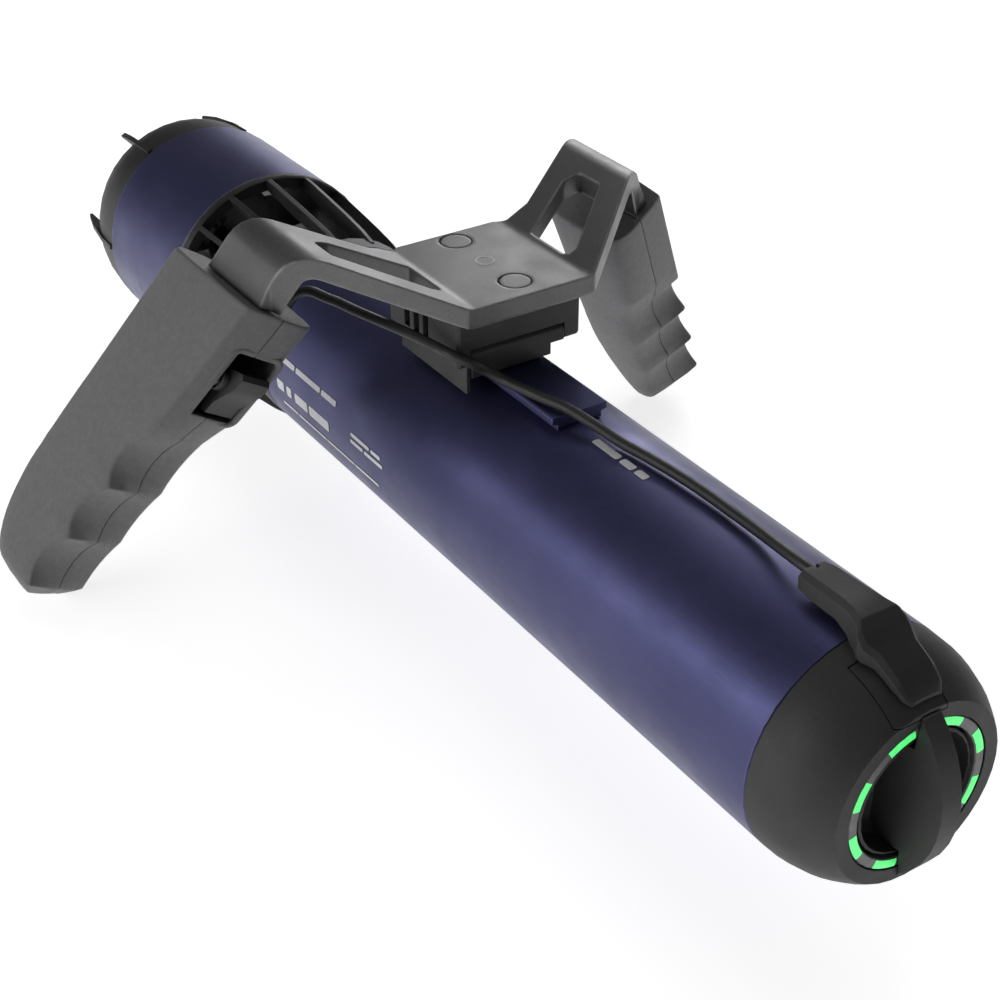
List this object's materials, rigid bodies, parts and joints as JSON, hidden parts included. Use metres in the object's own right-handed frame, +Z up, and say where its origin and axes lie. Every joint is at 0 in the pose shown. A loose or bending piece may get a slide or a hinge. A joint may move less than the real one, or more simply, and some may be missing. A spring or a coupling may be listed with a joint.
{
  "type": "underwater scooter",
  "caption": "Battery tube with a caged ducted propeller behind, a twist knob in the nose, and a clamped handle bar with two finger-grooved grips and a thumb throttle.",
  "frame": {"origin": "middle of the whole object's bounding box", "axes": "+X along the battery tube towards the nose, +Z up out of the handle plate, +Y towards the rider's left"},
  "size_m": [0.4508, 0.2758, 0.1308],
  "materials": {
    "navy_anodised": "satin anodised",
    "charcoal_plastic": "fine texture",
    "black_plastic": "matt",
    "satin_grey": "satin anodised",
    "grip_grey": "fine texture",
    "seal_rubber": "matt",
    "lead_jacket": "satin",
    "light_diffuser": "diffusing",
    "red_plastic": "satin",
    "stainless_steel": "bright",
    "bare_aluminium": "machined",
    "copper_winding": "varnished wire",
    "rotor_steel": "nickel plated",
    "cell_wrap": "shrink wrap",
    "circuit_board": "solder mask"
  },
  "bodies": {
    "frame": {"battery_board": "circuit_board", "bulkhead_seal": "seal_rubber", "button_spring": "stainless_steel", "cable_gland": "seal_rubber", "cable_plug": "charcoal_plastic", "cell_bundle_front": "cell_wrap", "cell_bundle_rear": "cell_wrap", "cell_plate_front": "black_plastic", "cell_plate_rear": "black_plastic", "clamp_block": "charcoal_plastic", "control_lead": "lead_jacket", "duct_liner": "black_plastic", "duct_shroud": "navy_anodised", "front_bearing": "stainless_steel", "guide_vanes": "black_plastic", "handle_bar": "satin_grey", "handle_screw_front": "stainless_steel", "handle_screw_rear": "stainless_steel", "intake_grille": "black_plastic", "latch_pin": "stainless_steel", "left_grip_bolt": "stainless_steel", "left_grip_inner": "grip_grey", "left_grip_outer": "grip_grey", "light_board": "circuit_board", "light_ring": "light_diffuser", "main_tube": "navy_anodised", "motor_bulkhead": "bare_aluminium", "motor_controller": "circuit_board", "motor_housing": "black_plastic", "motor_stator": "copper_winding", "mounting_rail": "navy_anodised", "nose_cap": "charcoal_plastic", "nose_seal": "seal_rubber", "plate_plug_front": "satin_grey", "plate_plug_rear": "satin_grey", "plug_socket": "charcoal_plastic", "rail_backing_strip": "bare_aluminium", "rail_screw_front": "stainless_steel", "rail_screw_rear": "stainless_steel", "rear_bearing": "stainless_steel", "rear_ring": "black_plastic", "right_grip_bolt": "stainless_steel", "right_grip_inner": "grip_grey", "right_grip_outer": "grip_grey", "shaft_seal": "seal_rubber", "stator_mount": "bare_aluminium", "throttle_board": "circuit_board", "trigger_pin": "stainless_steel", "trigger_spring": "stainless_steel"},
    "knob": {"twist_knob": "charcoal_plastic", "knob_clip": "stainless_steel", "knob_seal": "seal_rubber"},
    "drive": {"motor_rotor": "rotor_steel", "motor_shaft": "stainless_steel", "propeller": "black_plastic", "propeller_nut": "stainless_steel"},
    "latch": {"latch_lever": "charcoal_plastic"},
    "button": {"release_button": "red_plastic"},
    "throttle": {"trigger": "charcoal_plastic"}
  },
  "joints": [
    {"name": "knob_turn", "type": "hinge", "parent": "frame", "child": "knob", "pos_m": [0.19855, 0, -0.01474], "axis": [1, 0, 0], "range_deg": [0, 90]},
    {"name": "propeller_spin", "type": "hinge", "parent": "frame", "child": "drive", "pos_m": [-0.14825, 0, -0.01474], "axis": [1, 0, 0], "continuous": true},
    {"name": "latch_press", "type": "hinge", "parent": "frame", "child": "latch", "pos_m": [0.03435, 0, 0.03216], "axis": [0, 1, 0], "range_deg": [0, 12], "stiffness_Nm_per_rad": 0.1, "springref_deg": -17.19},
    {"name": "button_press", "type": "slide", "parent": "frame", "child": "button", "axis": [0, -1, 0], "range_m": [0, 0.003], "stiffness_N_per_m": 300, "springref_m": -0.003},
    {"name": "trigger_pull", "type": "hinge", "parent": "frame", "child": "throttle", "pos_m": [-0.00522, -0.07564, 0.02163], "axis": [0, 0.8572, -0.515], "range_deg": [0, 14], "stiffness_Nm_per_rad": 0.1, "springref_deg": -17.19}
  ]
}
